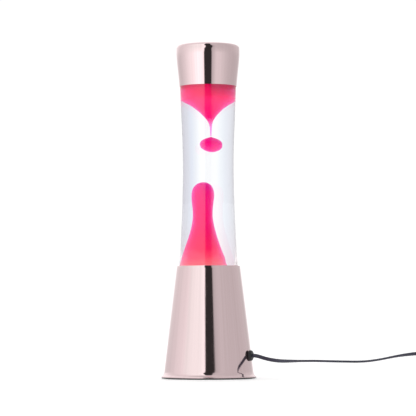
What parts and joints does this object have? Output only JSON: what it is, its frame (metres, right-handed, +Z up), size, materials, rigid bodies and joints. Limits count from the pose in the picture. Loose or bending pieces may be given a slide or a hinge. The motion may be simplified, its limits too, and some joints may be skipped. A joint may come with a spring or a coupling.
{
  "type": "lava lamp",
  "caption": "Table lamp with a spun metal base and cap, a waisted glass bottle of wax in clear liquid, a reflector bulb, and a flat lead with inline switch and plug.",
  "frame": {"origin": "on the table, at the middle of the lamp's round foot", "axes": "+Z up along the lamp's axis; the lead leaves the base towards +X; the pictured side faces -Y"},
  "size_m": [0.4448, 0.1288, 0.3916],
  "materials": {
    "rose_metal": "mirror-polished spun metal with a pale rose-gold tint",
    "black_plastic": "moulded black plastic",
    "foot_rubber": "black rubber",
    "bare_steel": "pressed steel",
    "gasket_rubber": "silicone rubber",
    "zinc_steel": "zinc-plated steel",
    "holder_plastic": "heat-proof white moulding",
    "contact_brass": "brass",
    "brown_insulation": "brown wire insulation",
    "blue_insulation": "blue wire insulation",
    "bush_plastic": "black moulded bush",
    "cord_pvc": "dark slate flat twin flexible lead",
    "tie_strap": "black woven strap",
    "switch_plastic": "fine-grained black moulding",
    "rocker_plastic": "polished black moulding",
    "plug_pvc": "moulded soft black plastic",
    "pin_nickel": "nickel-plated brass",
    "bottle_glass": "clear moulded glass",
    "liquid": "clear liquid",
    "wax": "translucent pink wax",
    "tin_plate": "tin-plated steel crown closure",
    "seal_liner": "soft liner",
    "pad_foam": "closed-cell foam",
    "solder": "solder",
    "bulb_shell": "nickel-plated screw cap",
    "black_glass": "black vitrite",
    "bulb_envelope": "silvered reflector glass with a frosted front",
    "tungsten": "glass stem, support wires and filament"
  },
  "bodies": {
    "base": {"base_shell": "rose_metal", "base_plate": "black_plastic", "foot_ring": "foot_rubber", "bottle_seat": "bare_steel", "seat_gasket": "gasket_rubber", "holder_bracket": "zinc_steel", "bracket_screws": "zinc_steel", "lamp_holder": "holder_plastic", "holder_sleeve": "contact_brass", "holder_tongue": "contact_brass", "holder_nipple": "zinc_steel", "nipple_nut": "zinc_steel", "terminal_screws": "contact_brass", "wire_live": "brown_insulation", "wire_neutral": "blue_insulation", "cord_bush": "bush_plastic", "cord_lead": "cord_pvc", "cord_coil": "cord_pvc", "coil_tie": "tie_strap", "cord_mid": "cord_pvc", "cord_end": "cord_pvc", "switch_base": "switch_plastic", "switch_cover": "switch_plastic", "switch_contacts": "contact_brass", "switch_screws": "zinc_steel", "plug_body": "plug_pvc", "plug_pins": "pin_nickel"},
    "bottle": {"glass_bottle": "bottle_glass", "clear_liquid": "liquid", "wax_upper": "wax", "wax_lower": "wax", "wire_coil": "bare_steel", "crown_closure": "tin_plate", "crown_seal": "seal_liner"},
    "drop": {"wax_drop": "wax"},
    "cap": {"metal_cap": "rose_metal", "cap_pad": "pad_foam"},
    "bulb_thread": {"bulb_contact": "solder"},
    "bulb": {"bulb_cap": "bulb_shell", "bulb_insulator": "black_glass", "bulb_glass": "bulb_envelope", "bulb_filament": "tungsten"},
    "rocker": {"switch_rocker": "rocker_plastic"}
  },
  "joints": [
    {"name": "bottle_lift", "type": "slide", "parent": "base", "child": "bottle", "axis": [0, 0, 1], "range_m": [0, 0.06]},
    {"name": "cap_lift", "type": "slide", "parent": "bottle", "child": "cap", "axis": [0, 0, 1], "range_m": [0, 0.06]},
    {"name": "drop_travel", "type": "slide", "parent": "bottle", "child": "drop", "axis": [0, 0, 1], "range_m": [-0.033, 0]},
    {"name": "bulb_rise", "type": "slide", "parent": "base", "child": "bulb_thread", "axis": [0, 0, 1], "range_m": [0, 0.0142]},
    {"name": "bulb_turn", "type": "hinge", "parent": "bulb_thread", "child": "bulb", "pos_m": [0, 0, 0.06], "axis": [0, 0, 1], "range_deg": [0, 1800]},
    {"name": "switch_press", "type": "hinge", "parent": "base", "child": "rocker", "pos_m": [0.33, 0.017, 0.0125], "axis": [1, 0, 0], "range_deg": [0, 16]}
  ],
  "couplings": [
    {"joint": "bulb_rise", "follows": "bulb_turn", "m_per_rad": 0.00044914}
  ]
}
